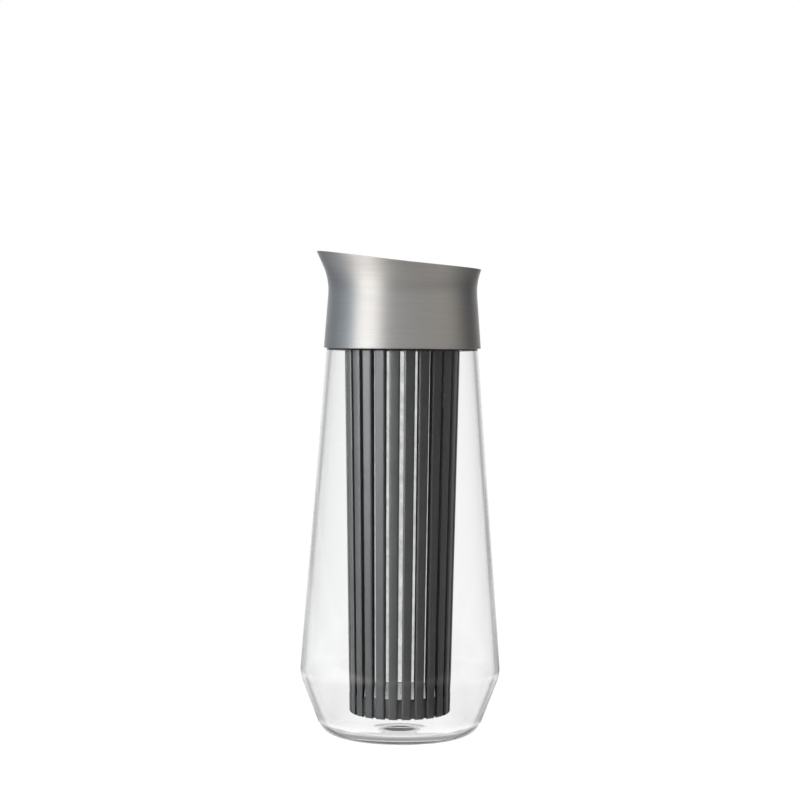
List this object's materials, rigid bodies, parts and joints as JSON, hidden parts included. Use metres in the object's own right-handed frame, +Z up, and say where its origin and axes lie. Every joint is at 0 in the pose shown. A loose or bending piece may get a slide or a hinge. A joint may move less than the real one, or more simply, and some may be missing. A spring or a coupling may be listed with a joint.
{
  "type": "cold brew carafe",
  "caption": "Tall glass carafe with a waisted steel lid, a slanted pouring rim, a tilt-opened pour flap and a slotted strainer that hangs from the lid.",
  "frame": {"origin": "centre of the footprint, on the table plane", "axes": "+Z up along the bottle's axis, the spout points to -X"},
  "size_m": [0.1052, 0.1052, 0.2536],
  "materials": {
    "glass": "clear, polished",
    "brushed_steel": "brushed around the axis",
    "plain_steel": "turned",
    "lid_plastic": "satin moulded",
    "strainer_plastic": "satin moulded",
    "silicone": "matte",
    "filter_mesh": "fine open weave"
  },
  "bodies": {
    "bottle": {"bottle_glass": "glass"},
    "lid": {"lid_sleeve": "brushed_steel", "lid_core": "lid_plastic", "neck_gasket": "silicone", "sleeve_seal": "silicone", "flap_pin": "plain_steel"},
    "flap": {"pour_flap": "lid_plastic", "flap_seal": "silicone", "flap_weight": "plain_steel"},
    "strainer": {"strainer_frame": "strainer_plastic", "strainer_mesh": "filter_mesh"}
  },
  "joints": [
    {"name": "lid_lift", "type": "slide", "parent": "bottle", "child": "lid", "axis": [0, 0, 1], "range_m": [0, 0.22]},
    {"name": "flap_tilt", "type": "hinge", "parent": "lid", "child": "flap", "pos_m": [0.0132, 0, 0.2244], "axis": [0, 1, 0], "range_deg": [0, 50]},
    {"name": "strainer_twist", "type": "hinge", "parent": "lid", "child": "strainer", "pos_m": [0, 0, 0.2078], "axis": [0, 0, 1], "range_deg": [0, 35]}
  ]
}
